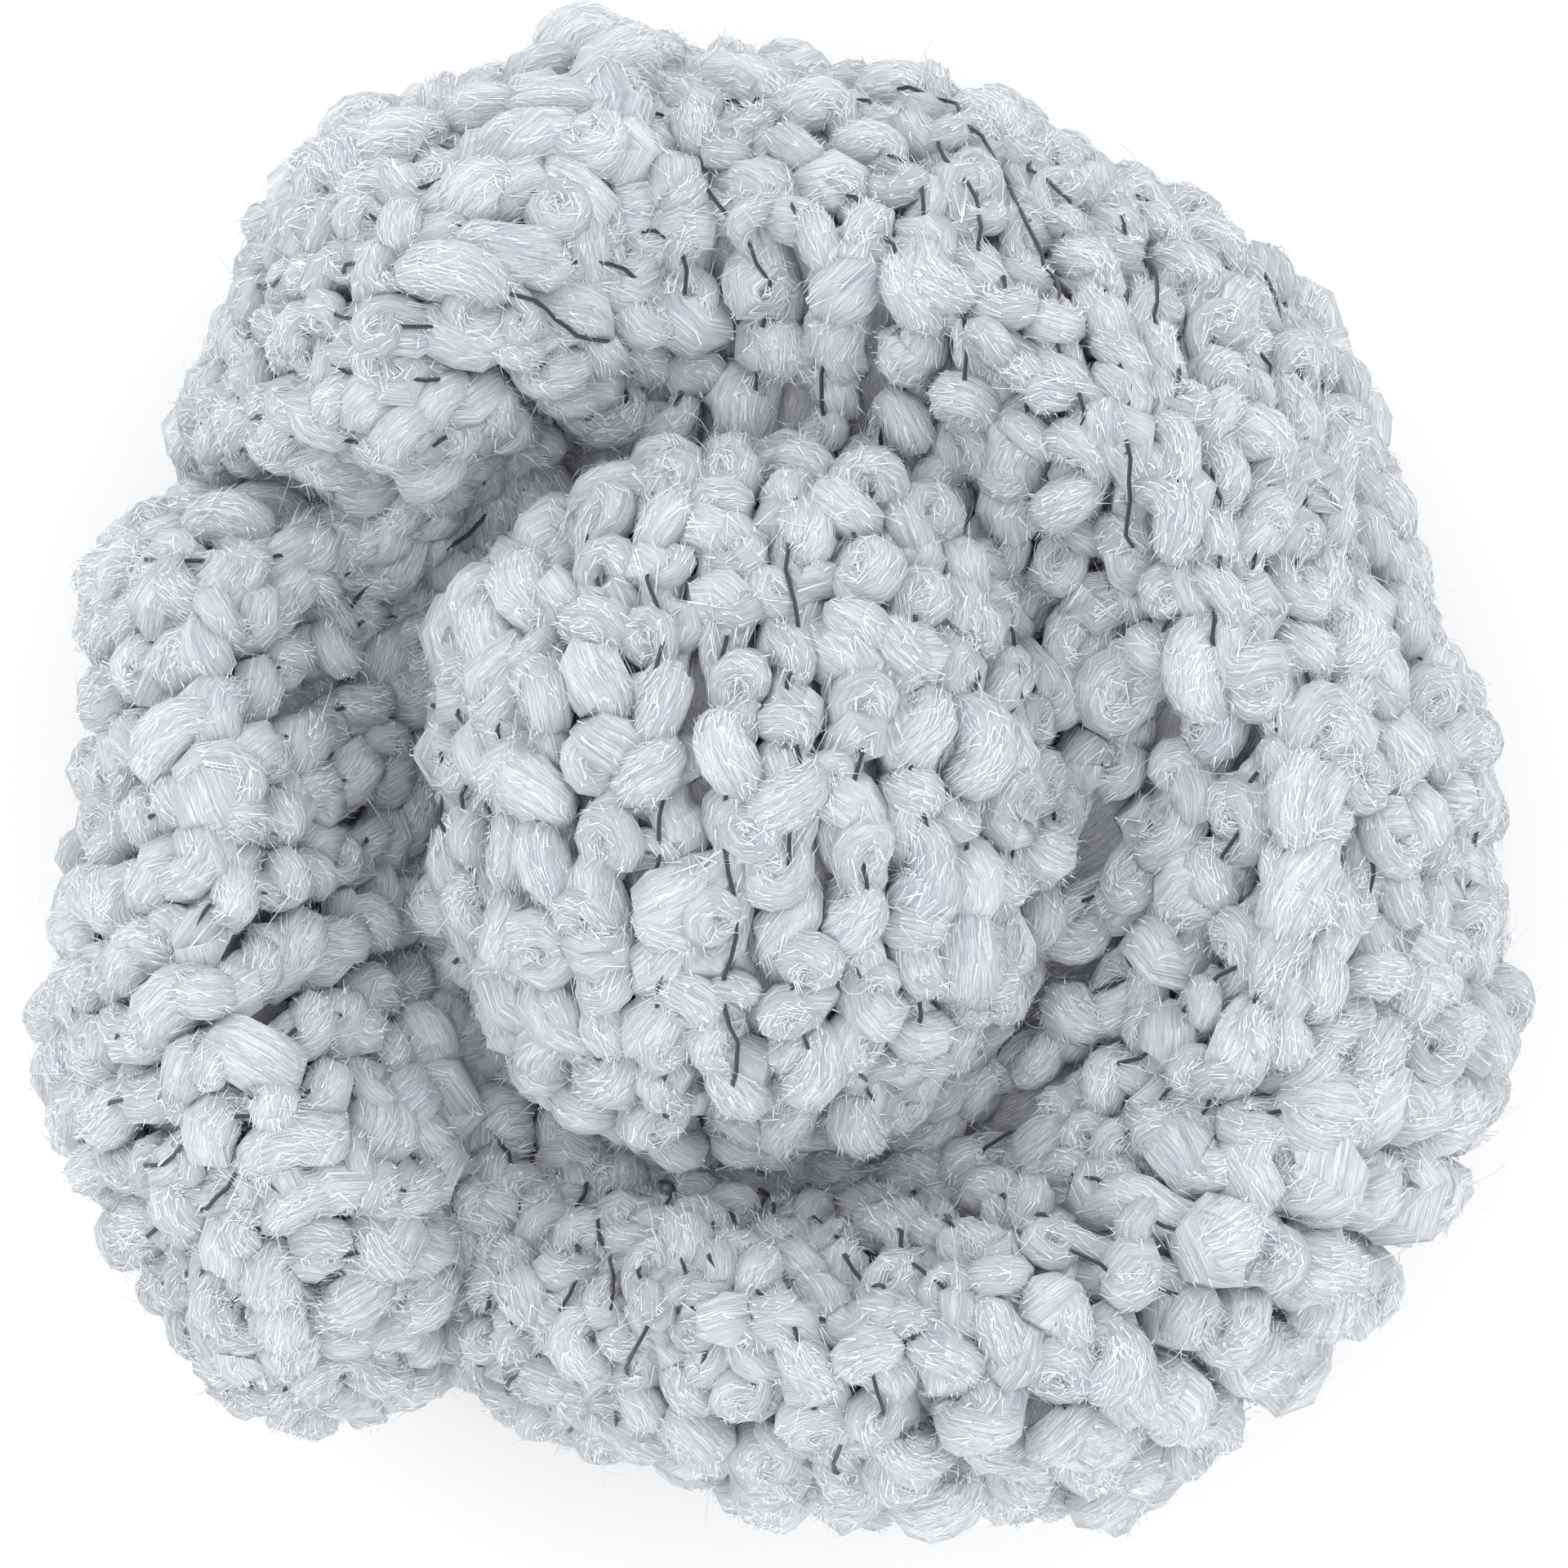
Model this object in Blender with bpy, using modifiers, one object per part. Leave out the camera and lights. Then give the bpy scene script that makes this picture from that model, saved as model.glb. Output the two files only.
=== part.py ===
"""A wound ball of thick boucle yarn, resting on a small flat spot.

The ball is one solid. It is made of the rolls of turns that cross each other on it: every roll is a turned
body with one ridge a turn, drawn out to the roll's own size, bent, laid in its place and joined to the others.
"""

import math
from typing import NamedTuple

import bpy
import numpy as np

# Sizes in metres
MM = 0.001
TURN_GROOVE = 1.1 * MM  # how deep the groove between two turns is
MEAN_ROLL = 40 * MM  # the roll radius that the unit profile's grooves are set out on
FLAT_LEVEL = -46 * MM  # where the flat spot cuts the ball, from its middle
ROW_PLACES = (0.0, 0.5)  # share of a turn
ROW_DEPTHS = (1.0, 0.0)  # share of the groove

# The dip round the middle mound
MOUND_CENTRE = (-3 * MM, -1 * MM)
DIP_INNER = 25 * MM
DIP_OUTER = 45 * MM
DIP_DEPTH = 20 * MM
DIP_RISE = 40 * MM  # height above the middle over which the dip grows to its depth

# How far the outline stands out in each direction, every 20 degrees from +X towards +Y
OUTLINE = (
    1.025, 0.913, 0.904, 0.919, 1.022, 1.091, 0.971, 0.850, 1.008,
    0.964, 1.002, 0.944, 0.983, 0.875, 0.918, 0.979, 1.000, 1.043,
)
OUTLINE_REACH = 50 * MM


class Roll(NamedTuple):
    """One roll of turns. Lengths are in millimetres and angles in degrees."""

    name: str
    centre: tuple
    semi: tuple
    yaw: float
    power: float
    across: tuple
    turns: int
    steps: int
    bend: float = 0.0
    drift: float = 0.0
    dips: bool = True
    outlines: bool = True


# The turns of a roll lie across the line given by across. A bent roll has it along its own length.
ROLLS = (
    Roll("right_roll", (11, 6, 4), (46, 51, 50), 0, 2.5, (-0.60, 0.43, 0.67), 30, 52),
    Roll("bottom_roll", (8.3, -43.8, 3), (46, 22.5, 44), 34, 2.7, (1, 0, 0), 26, 34, bend=37.5, drift=15),
    Roll("left_roll", (-39.5, -12.5, 4), (20, 41.5, 40), 0, 2.7, (-0.42, 0.91, 0), 24, 32),
    Roll("top_roll", (-27.5, 39.5, 2), (27, 17, 43), 6, 3.0, (0.34, 0.93, -0.15), 12, 34, dips=False),
    Roll("mound", (-3, -1, 28), (26, 28.5, 28), 0, 2.3, (1, 0.05, 0), 15, 30, dips=False, outlines=False),
    Roll("inner_ball", (0, -1, -3), (53.5, 54.5, 47), 0, 2.1, (0.25, -0.35, 0.9), 27, 30),
)


def clear_scene():
    for obj in list(bpy.data.objects):
        bpy.data.objects.remove(obj, do_unlink=True)


def new_collection(name):
    collection = bpy.data.collections.new(name)
    bpy.context.scene.collection.children.link(collection)
    return collection


def wool_material():
    material = bpy.data.materials.new("pale_wool")
    material.use_nodes = True
    shader = material.node_tree.nodes["Principled BSDF"]
    shader.inputs["Base Color"].default_value = (0.72, 0.73, 0.75, 1)
    shader.inputs["Roughness"].default_value = 0.95
    shader.inputs["Sheen Weight"].default_value = 0.3
    return material


def turn_profile(turns):
    """The unit half circle from the upper pole to the lower one, with a groove between each turn and the next."""
    points = [(0.0, 0.0, 1.0)]
    for turn in range(turns):
        for place, depth in zip(ROW_PLACES, ROW_DEPTHS):
            share = (turn + place) / turns
            if share == 0:
                continue
            angle = math.pi * share
            radius = 1 - depth * TURN_GROOVE / MEAN_ROLL
            points.append((radius * math.sin(angle), 0.0, radius * math.cos(angle)))
    points.append((0.0, 0.0, -1.0))
    return points


def turned_mesh(name, profile, steps):
    """The closed mesh that this profile turns about the Z axis."""
    mesh = bpy.data.meshes.new(name + "_profile")
    mesh.from_pydata(profile, [(i, i + 1) for i in range(len(profile) - 1)], [])
    guide = bpy.data.objects.new(name + "_profile", mesh)
    bpy.context.scene.collection.objects.link(guide)
    screw = guide.modifiers.new("turn", "SCREW")
    screw.axis = "Z"
    screw.angle = math.radians(360)
    screw.steps = steps
    screw.render_steps = steps
    screw.use_merge_vertices = True
    screw.merge_threshold = 1e-5
    screw.use_normal_calculate = True
    graph = bpy.context.evaluated_depsgraph_get()
    turned = bpy.data.meshes.new_from_object(guide.evaluated_get(graph))
    turned.name = name
    bpy.data.objects.remove(guide, do_unlink=True)
    return turned


def eased(share):
    share = np.clip(share, 0, 1)
    return share * share * (3 - 2 * share)


def turned_about_z(degrees):
    angle = math.radians(degrees)
    return np.array([[math.cos(angle), -math.sin(angle), 0], [math.sin(angle), math.cos(angle), 0], [0, 0, 1]])


def dipped(points):
    """Lowers the rolls' upper side round the mound."""
    reach = np.hypot(points[:, 0] - MOUND_CENTRE[0], points[:, 1] - MOUND_CENTRE[1])
    drop = DIP_DEPTH * (1 - eased((reach - DIP_INNER) / (DIP_OUTER - DIP_INNER)))
    out = points.copy()
    out[:, 2] -= drop * eased(points[:, 2] / DIP_RISE)
    return out


def outlined(points):
    """Draws the rolls in or out to the ball's own uneven outline."""
    count = len(OUTLINE)
    place = (np.arctan2(points[:, 1], points[:, 0]) / (2 * math.pi) * count) % count
    first = np.floor(place).astype(int)
    share = eased(place - first)
    table = np.array(OUTLINE)
    scale = table[first % count] * (1 - share) + table[(first + 1) % count] * share
    reach = np.hypot(points[:, 0], points[:, 1])
    grow = 1 + (scale - 1) * eased(reach / OUTLINE_REACH)
    out = points.copy()
    out[:, :2] *= grow[:, None]
    return out


def roll_points(roll, unit):
    """Where the points of the unit body come to lie on this roll."""
    semi = np.array(roll.semi) * MM
    yaw = turned_about_z(roll.yaw)
    across = np.array(roll.across, float)
    axis = (across if roll.bend else yaw.T @ across) * semi
    axis /= np.linalg.norm(axis)
    first = np.cross(axis, (0, 0, 1) if abs(axis[2]) < 0.9 else (1, 0, 0))
    first /= np.linalg.norm(first)
    second = np.cross(axis, first)
    length = np.linalg.norm(unit, axis=1, keepdims=True)
    round_points = (unit / length) @ np.array([first, second, axis])
    level = (np.abs(round_points[:, :2]) ** roll.power).sum(1) ** (1 / roll.power)
    round_points /= np.hypot(level, round_points[:, 2])[:, None]
    points = round_points * semi
    reach = np.linalg.norm(points, axis=1, keepdims=True)
    points *= 1 - (1 - length) * MEAN_ROLL / reach
    if roll.bend:
        bend = roll.bend * MM
        angle = points[:, 0] / bend
        radius = bend - points[:, 1] + roll.drift * MM * angle
        points = np.stack([radius * np.sin(angle), bend - radius * np.cos(angle), points[:, 2]], 1)
    points = points @ yaw.T + np.array(roll.centre) * MM
    points = dipped(points) if roll.dips else points
    points = outlined(points) if roll.outlines else points
    points[:, 2] -= FLAT_LEVEL
    return points


def add_roll(roll, collection, material):
    """Adds one roll, as a closed ridged body in its place."""
    mesh = turned_mesh(roll.name, turn_profile(roll.turns), roll.steps)
    unit = np.empty(len(mesh.vertices) * 3)
    mesh.vertices.foreach_get("co", unit)
    points = roll_points(roll, unit.reshape(-1, 3))
    mesh.vertices.foreach_set("co", points.ravel())
    mesh.shade_smooth()
    mesh.materials.append(material)
    mesh.update()
    obj = bpy.data.objects.new(roll.name, mesh)
    collection.objects.link(obj)
    return obj


def hide_helper(obj):
    obj.hide_render = True
    obj.display_type = "WIRE"


def join_rolls(obj, collection):
    """Joins every roll of this collection to the object at once."""
    modifier = obj.modifiers.new("joined_rolls", "BOOLEAN")
    modifier.operation = "UNION"
    modifier.solver = "EXACT"
    modifier.operand_type = "COLLECTION"
    modifier.collection = collection


def cut(obj, cutter):
    modifier = obj.modifiers.new("cut_" + cutter.name, "BOOLEAN")
    modifier.operation = "DIFFERENCE"
    modifier.solver = "EXACT"
    modifier.object = cutter


def build():
    clear_scene()
    ball_parts = new_collection("boucle_yarn")
    helpers = new_collection("rolls")
    cutters = new_collection("cutters")
    material = wool_material()
    ball = add_roll(ROLLS[0], ball_parts, material)
    ball.name = "yarn_ball"
    for roll in ROLLS[1:]:
        other = add_roll(roll, helpers, material)
        hide_helper(other)
    join_rolls(ball, helpers)
    side = 200 * MM
    bpy.ops.mesh.primitive_cube_add(size=side, location=(0, 0, -side / 2))
    under = bpy.context.active_object
    under.name = "flat_spot"
    for collection in list(under.users_collection):
        collection.objects.unlink(under)
    cutters.objects.link(under)
    under.data.materials.append(material)
    hide_helper(under)
    cut(ball, under)


build()
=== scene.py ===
"""Dressed scene of a wound ball of thick boucle yarn.

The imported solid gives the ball's form: rolls of turns that cross each other round a middle mound. Here every
turn becomes real boucle yarn laid along the same rolls: a pale roving that curls from side to side, the dark
binder thread that ties it down, the loose fibres that stand off it, and the shaded turns below.
"""

import logging
import math
from dataclasses import dataclass, fields
from enum import Enum
from typing import ClassVar

import bpy
import numpy as np
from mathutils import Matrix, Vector
from mathutils.bvhtree import BVHTree


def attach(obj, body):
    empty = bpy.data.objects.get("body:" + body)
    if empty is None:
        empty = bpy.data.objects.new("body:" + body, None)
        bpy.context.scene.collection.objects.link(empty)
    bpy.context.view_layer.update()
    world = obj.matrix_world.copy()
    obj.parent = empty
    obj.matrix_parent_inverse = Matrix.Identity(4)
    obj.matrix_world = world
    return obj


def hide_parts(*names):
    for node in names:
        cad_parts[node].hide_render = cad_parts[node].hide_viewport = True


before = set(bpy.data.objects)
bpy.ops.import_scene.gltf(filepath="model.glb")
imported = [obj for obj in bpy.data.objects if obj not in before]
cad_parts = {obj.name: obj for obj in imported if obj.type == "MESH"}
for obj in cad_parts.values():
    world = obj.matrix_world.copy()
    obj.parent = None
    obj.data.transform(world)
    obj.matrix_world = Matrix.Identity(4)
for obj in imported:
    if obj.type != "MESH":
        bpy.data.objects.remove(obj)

Array = np.ndarray
Socket = bpy.types.NodeSocket

LOG = logging.getLogger("boucle_yarn")
MM = 0.001
NODE = "yarn_ball"
ABOVE_FLOOR = 0.1 * MM
CIRCLE = 6.28
FIRST_SEED = 100


def eased(share: Array) -> Array:
    """A share from 0 to 1 with soft ends."""
    share = np.clip(share, 0, 1)
    return share * share * (3 - 2 * share)


def unit(vectors: Array) -> Array:
    """The same directions at length 1."""
    return vectors / np.maximum(np.linalg.norm(vectors, axis=-1, keepdims=True), 1e-9)


def ring_faces(rows: int, sides: int) -> Array:
    """Faces of a skin of rings.

    Args:
        rows: rows of faces.
        sides: points on each ring.

    Returns:
        Four corners for each face, row by row.
    """
    start = np.arange(rows)[:, None] * sides
    here, there = np.arange(sides)[None, :], (np.arange(sides)[None, :] + 1) % sides
    return np.stack([start + here, start + there, start + sides + there, start + sides + here], 2).reshape(-1, 4)


@dataclass(frozen=True)
class BallForm:
    """The forms that all rolls of the ball share, in millimetres.

    Attributes:
        flat_level: where the flat spot cuts the ball, from its middle.
        mound_centre: middle of the dip, seen from above.
        dip_inner: radius inside which the dip has its whole depth.
        dip_outer: radius where the dip ends.
        dip_depth: how far the upper side sinks there.
        dip_rise: height above the middle over which the dip grows to its depth.
        outline_reach: distance from the middle at which the outline has its whole effect.
        outline: how far the ball stands out in each direction, every 20 degrees from +X towards +Y.
    """

    flat_level: float = -46.0
    mound_centre: tuple[float, float] = (-3.0, -1.0)
    dip_inner: float = 25.0
    dip_outer: float = 45.0
    dip_depth: float = 20.0
    dip_rise: float = 40.0
    outline_reach: float = 50.0
    outline: tuple[float, ...] = (
        1.025, 0.913, 0.904, 0.919, 1.022, 1.091, 0.971, 0.850, 1.008,
        0.964, 1.002, 0.944, 0.983, 0.875, 0.918, 0.979, 1.000, 1.043,
    )

    def dipped(self, points: Array) -> Array:
        """Lowers the upper side round the mound.

        Args:
            points: places on a roll, one a row.

        Returns:
            The lowered places.
        """
        reach = np.hypot(points[:, 0] - self.mound_centre[0], points[:, 1] - self.mound_centre[1])
        drop = self.dip_depth * (1 - eased((reach - self.dip_inner) / (self.dip_outer - self.dip_inner)))
        out = points.copy()
        out[:, 2] -= drop * eased(points[:, 2] / self.dip_rise)
        return out

    def outlined(self, points: Array) -> Array:
        """Draws places in or out to the ball's uneven outline.

        Args:
            points: places on a roll, one a row.

        Returns:
            The moved places.
        """
        table = np.array(self.outline)
        count = len(table)
        place = (np.arctan2(points[:, 1], points[:, 0]) / (2 * math.pi) * count) % count
        first = np.floor(place).astype(int)
        share = eased(place - first)
        scale = table[first % count] * (1 - share) + table[(first + 1) % count] * share
        grow = 1 + (scale - 1) * eased(np.hypot(points[:, 0], points[:, 1]) / self.outline_reach)
        out = points.copy()
        out[:, :2] *= grow[:, None]
        return out


@dataclass(frozen=True)
class Roll:
    """One roll of turns, in millimetres and degrees, with the same sizes as in the solid.

    Attributes:
        semi: half its size along each axis.
        yaw: how far it is turned about the vertical.
        power: how square its cross-section is; 2 is round.
        across: the line that the turns lie across.
        turns: ridges of the solid's roll.
        strand_turns: turns of yarn laid along it.
        bend: radius that it is bent to round the mound; 0 leaves it straight.
        drift: how much that radius grows along the bend.
        dips: whether its upper side sinks round the mound.
        outlines: whether it follows the ball's uneven outline.
        loops: how often its roving closes to loops, next to the other rolls.
    """

    name: str
    centre: tuple[float, float, float]
    semi: tuple[float, float, float]
    yaw: float
    power: float
    across: tuple[float, float, float]
    turns: int
    strand_turns: int
    bend: float = 0.0
    drift: float = 0.0
    dips: bool = True
    outlines: bool = True
    loops: float = 1.0

    def points(self, form: BallForm, lat: Array, lon: Array) -> Array:
        """Places on the roll's surface.

        Args:
            form: the ball that the roll is part of.
            lat: latitudes about the axis of the turns, in radians.
            lon: longitudes about the same axis.

        Returns:
            One place a row, above the surface that the ball rests on.
        """
        semi = np.array(self.semi)
        yaw = math.radians(self.yaw)
        turned = np.array([[math.cos(yaw), -math.sin(yaw), 0], [math.sin(yaw), math.cos(yaw), 0], [0, 0, 1]])
        across = np.array(self.across)
        axis = unit((across if self.bend else turned.T @ across) * semi)
        first = unit(np.cross(axis, (0, 0, 1) if abs(axis[2]) < 0.9 else (1, 0, 0)))
        second = np.cross(axis, first)
        ring = np.cos(lon)[:, None] * first + np.sin(lon)[:, None] * second
        on_ball = np.cos(lat)[:, None] * ring + np.sin(lat)[:, None] * axis
        level = (np.abs(on_ball[:, :2]) ** self.power).sum(1) ** (1 / self.power)
        places = on_ball / np.hypot(level, on_ball[:, 2])[:, None] * semi
        if self.bend:
            angle = places[:, 0] / self.bend
            radius = self.bend - places[:, 1] + self.drift * angle
            places = np.stack([radius * np.sin(angle), self.bend - radius * np.cos(angle), places[:, 2]], 1)
        places = places @ turned.T + np.array(self.centre)
        places = form.dipped(places) if self.dips else places
        places = form.outlined(places) if self.outlines else places
        places[:, 2] -= form.flat_level
        return places

    def surface(self, form: BallForm, lat: Array, lon: Array) -> tuple[Array, Array]:
        """Places on the roll and the directions that face out there.

        Args:
            form: the ball that the roll is part of.
            lat: latitudes about the axis of the turns, in radians.
            lon: longitudes about the same axis.

        Returns:
            The places, and a direction of length 1 for each.
        """
        step = 2e-3
        along = self.points(form, lat, lon + step) - self.points(form, lat, lon - step)
        up = self.points(form, lat + step, lon) - self.points(form, lat - step, lon)
        return self.points(form, lat, lon), unit(np.cross(along, up))


FORM = BallForm()
ROLLS = (
    Roll("right_roll", (11, 6, 4), (46, 51, 50), 0, 2.5, (-0.60, 0.43, 0.67), 30, 28),
    Roll("bottom_roll", (8.3, -43.8, 3), (46, 22.5, 44), 34, 2.7, (1, 0, 0), 26, 30, bend=37.5, drift=15),
    Roll("left_roll", (-39.5, -12.5, 4), (20, 41.5, 40), 0, 2.7, (-0.42, 0.91, 0), 24, 23, loops=0.25),
    Roll("top_roll", (-27.5, 39.5, 2), (27, 17, 43), 6, 3.0, (0.34, 0.93, -0.15), 12, 15, dips=False, loops=0.5),
    Roll("mound", (-3, -1, 28), (26, 28.5, 28), 0, 2.3, (1, 0.05, 0), 15, 15, dips=False, outlines=False),
    Roll("inner_ball", (0, -1, -3), (53.5, 54.5, 47), 0, 2.1, (0.25, -0.35, 0.9), 27, 26),
)


class Solid:
    """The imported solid, used to tell how deep a place lies in the ball."""

    def __init__(self, node: str) -> None:
        """Reads the solid's mesh.

        Args:
            node: name of the solid's node.
        """
        mesh = bpy.data.objects[node].data
        mesh.calc_loop_triangles()
        points = [vertex.co / MM for vertex in mesh.vertices]
        self.tree = BVHTree.FromPolygons(points, [tuple(t.vertices) for t in mesh.loop_triangles])

    def depths(self, points: Array) -> Array:
        """How deep each place lies below the solid's surface.

        Args:
            points: places in millimetres, one a row.

        Returns:
            Depths in millimetres, below 0 outside the solid.
        """
        out = np.empty(len(points))
        for i, point in enumerate(points):
            near, normal, _, distance = self.tree.find_nearest(Vector(point))
            out[i] = distance if (near - Vector(point)).dot(normal) > 0 else -distance
        return out


class Shading:
    """A new material and what its shader is fed with."""

    UV_NAME = "fibre_run"

    def __init__(self, name: str, values: dict[str, float | tuple[float, ...]]) -> None:
        """Makes the material.

        Args:
            name: its name.
            values: constants by the name of the shader's socket.
        """
        self.material = bpy.data.materials.new(name)
        self.material.use_nodes = True
        self.tree = self.material.node_tree
        self.sockets = self.tree.nodes["Principled BSDF"].inputs
        for socket, value in values.items():
            self.sockets[socket].default_value = value

    def fed(self, kind: str, source: Socket, socket: str | int = 0) -> bpy.types.Node:
        """Adds a node and feeds it.

        Args:
            kind: the kind of node.
            source: what feeds it.
            socket: name or number of the socket that is fed.

        Returns:
            The new node.
        """
        node = self.tree.nodes.new(kind)
        self.tree.links.new(source, node.inputs[socket])
        return node

    def fibre_run(self) -> Socket:
        """Adds the UVs that run along the fibres.

        Returns:
            The socket that gives them.
        """
        coords = self.tree.nodes.new("ShaderNodeUVMap")
        coords.uv_map = self.UV_NAME
        return coords.outputs[0]

    def coloured(self, pattern: Socket, stops: tuple[tuple[float, tuple], ...]) -> None:
        """Colours the surface by a pattern.

        Args:
            pattern: values from 0 to 1.
            stops: the colour at each of two values.
        """
        ramp = self.fed("ShaderNodeValToRGB", pattern)
        for element, (position, colour) in zip(ramp.color_ramp.elements, stops):
            element.position = position
            element.color = (*colour, 1)
        self.tree.links.new(ramp.outputs[0], self.sockets["Base Color"])

    def raised(self, pattern: Socket, strength: float, depth: float) -> None:
        """Raises the surface by a pattern.

        Args:
            pattern: values from 0 to 1.
            strength: how much of it counts.
            depth: height of the whole pattern in metres.
        """
        bump = self.fed("ShaderNodeBump", pattern, "Height")
        bump.inputs["Strength"].default_value = strength
        bump.inputs["Distance"].default_value = depth
        self.tree.links.new(bump.outputs[0], self.sockets["Normal"])


class Tone(Enum):
    """Which copy of the wool a piece is made of; the copies carry different painted light and shade."""

    CURLS = "curled_wool"
    FIBRES = "loose_fibre_wool"
    BELOW = "shaded_wool"


@dataclass(frozen=True)
class WoolFinish:
    """Pale undyed wool with streaks along its fibres: partly the wool's own streaky tone, partly painted shade
    between its fibre bundles.

    Attributes:
        dark: painted shade between the fibres.
        light: the wool's own pale colour, on top of the fibres.
        streaks: how many fibre bundles lie side by side round the roving.
        along: how often a bundle changes in each centimetre of roving.
        finer: how much closer the finer layer of streaks is.
        shares: how much the broad and the fine streaks count.
        clouds: how much slow changes of tone count.
        ramp: where the pattern reaches the dark and the light colour.
        bump_depth: depth of the streaks in metres.
    """

    tone: Tone
    dark: tuple[float, float, float]
    light: tuple[float, float, float]
    streaks: float = 48.0
    along: float = 4.0
    finer: float = 2.6
    shares: tuple[float, float] = (0.47, 0.38)
    clouds: float = 0.15
    ramp: tuple[float, float] = (0.39, 0.58)
    bump: float = 0.8
    bump_depth: float = 0.0015
    sheen: float = 0.45

    def material(self) -> bpy.types.Material:
        """Makes the wool material.

        Returns:
            The new material.
        """
        values = {"Roughness": 0.9, "Sheen Weight": self.sheen, "Sheen Roughness": 0.5}
        values |= {"Sheen Tint": (1.0, 1.0, 1.0, 1.0), "Specular IOR Level": 0.25}
        shading = Shading(self.tone.value, values)
        run = shading.fibre_run()
        broad = self._streaks(shading, run, self.along, self.streaks, detail=3.0)
        fine = self._streaks(shading, run, self.along * 2, self.streaks * self.finer, detail=2.0)
        clouds = self._streaks(shading, run, along=1.4, across=0.7, detail=0.0)
        both = self._mixed(shading, tuple(zip((broad, fine), self.shares)))
        toned = self._mixed(shading, ((both, 1.0), (clouds, self.clouds)))
        # The colour runs from painted shade between the fibre bundles to the wool's own pale colour.
        shading.coloured(toned, tuple(zip(self.ramp, (self.dark, self.light))))
        shading.raised(both, self.bump, self.bump_depth)
        return shading.material

    def _mixed(self, shading: Shading, patterns: tuple[tuple[Socket, float], ...]) -> Socket:
        """Sums patterns by their shares.

        Args:
            shading: the material.
            patterns: each pattern with its share.

        Returns:
            The summed pattern.
        """
        total = None
        for pattern, share in patterns:
            step = shading.fed("ShaderNodeMath", pattern)
            step.operation = "MULTIPLY_ADD"
            step.inputs[1].default_value = share
            step.inputs[2].default_value = 0.0
            if total is not None:
                shading.tree.links.new(total, step.inputs[2])
            total = step.outputs[0]
        return total

    def _streaks(self, shading: Shading, run: Socket, along: float, across: float, detail: float) -> Socket:
        """One layer of streaks, drawn out along the fibres.

        Args:
            shading: the material.
            run: the UVs that run along the fibres.
            along: streaks in each centimetre of roving.
            across: streaks side by side round it.
            detail: octaves of finer change.

        Returns:
            The pattern, from 0 to 1.
        """
        scale = shading.fed("ShaderNodeVectorMath", run)
        scale.operation = "MULTIPLY"
        scale.inputs[1].default_value = (along, across, 1.0)
        noise = shading.fed("ShaderNodeTexNoise", scale.outputs[0], "Vector")
        values = {"Scale": 1.0, "Detail": detail, "Roughness": 0.6, "Distortion": 1.0}
        for socket, value in values.items():
            noise.inputs[socket].default_value = value
        return noise.outputs[0]


@dataclass(frozen=True)
class BinderFinish:
    """The smooth dark thread that ties the curls down.

    Attributes:
        twist: how close its plies lie.
        ply_shade_and_light: painted shade and painted light on the two sides of each ply, as factors on its colour.
    """

    colour: tuple[float, float, float] = (0.018, 0.019, 0.023)
    twist: float = 8.0
    ply_shade_and_light: tuple[float, float] = (0.5, 1.8)
    bump: float = 0.5
    bump_depth: float = 0.0001

    def material(self) -> bpy.types.Material:
        """Makes the binder material.

        Returns:
            The new material.
        """
        shading = Shading("dark_binder_thread", {"Roughness": 0.6, "Sheen Weight": 0.2})
        wave = shading.fed("ShaderNodeTexWave", shading.fibre_run(), "Vector")
        wave.wave_type = "BANDS"
        wave.bands_direction = "DIAGONAL"
        wave.inputs["Scale"].default_value = self.twist
        wave.inputs["Distortion"].default_value = 1.0
        # The bands paint shade and light on the two sides of each twisted ply; the bump gives the plies' real
        # relief.
        colours = (tuple(shade * c for c in self.colour) for shade in self.ply_shade_and_light)
        shading.coloured(wave.outputs["Fac"], tuple(zip((0.0, 1.0), colours)))
        shading.raised(wave.outputs["Fac"], self.bump, self.bump_depth)
        return shading.material


@dataclass
class MeshData:
    """Points in millimetres, faces of one size and, if any, a UV pair for each corner."""

    points: Array
    faces: Array
    uvs: Array | None = None

    def piece(self, name: str, material: bpy.types.Material) -> bpy.types.Object:
        """Makes the scene's piece from the arrays.

        Args:
            name: name of the piece.
            material: its one material.

        Returns:
            The new object, riding on the ball and standing in for its solid.
        """
        mesh = bpy.data.meshes.new(name)
        count, corners = self.faces.shape
        points = self.points * MM
        points[:, 2] = np.maximum(points[:, 2], ABOVE_FLOOR)
        mesh.vertices.add(len(points))
        mesh.vertices.foreach_set("co", points.ravel())
        mesh.loops.add(count * corners)
        mesh.loops.foreach_set("vertex_index", self.faces.ravel().astype(np.int32))
        mesh.polygons.add(count)
        mesh.polygons.foreach_set("loop_start", np.arange(count, dtype=np.int32) * corners)
        mesh.polygons.foreach_set("loop_total", np.full(count, corners, dtype=np.int32))
        mesh.update(calc_edges=True)
        layer = mesh.uv_layers.new(name=Shading.UV_NAME)
        if self.uvs is not None:
            layer.data.foreach_set("uv", self.uvs.reshape(-1).astype(np.float32))
        mesh.shade_smooth()
        mesh.materials.append(material)
        obj = bpy.data.objects.new(name, mesh)
        bpy.context.scene.collection.objects.link(obj)
        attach(obj, "root")
        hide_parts(NODE)
        LOG.info("%s: %d points, %d triangles", name, len(points), count * (corners - 2))
        return obj

    @staticmethod
    def joined(parts: list["MeshData"]) -> "MeshData":
        """One set of arrays from many.

        Args:
            parts: the sets, all with faces of the same size.

        Returns:
            The joined set.
        """
        starts = np.cumsum([0] + [len(part.points) for part in parts[:-1]])
        return MeshData(
            np.concatenate([part.points for part in parts]),
            np.concatenate([part.faces + start for part, start in zip(parts, starts)]),
            np.concatenate([part.uvs for part in parts]) if parts[0].uvs is not None else None,
        )


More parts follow.
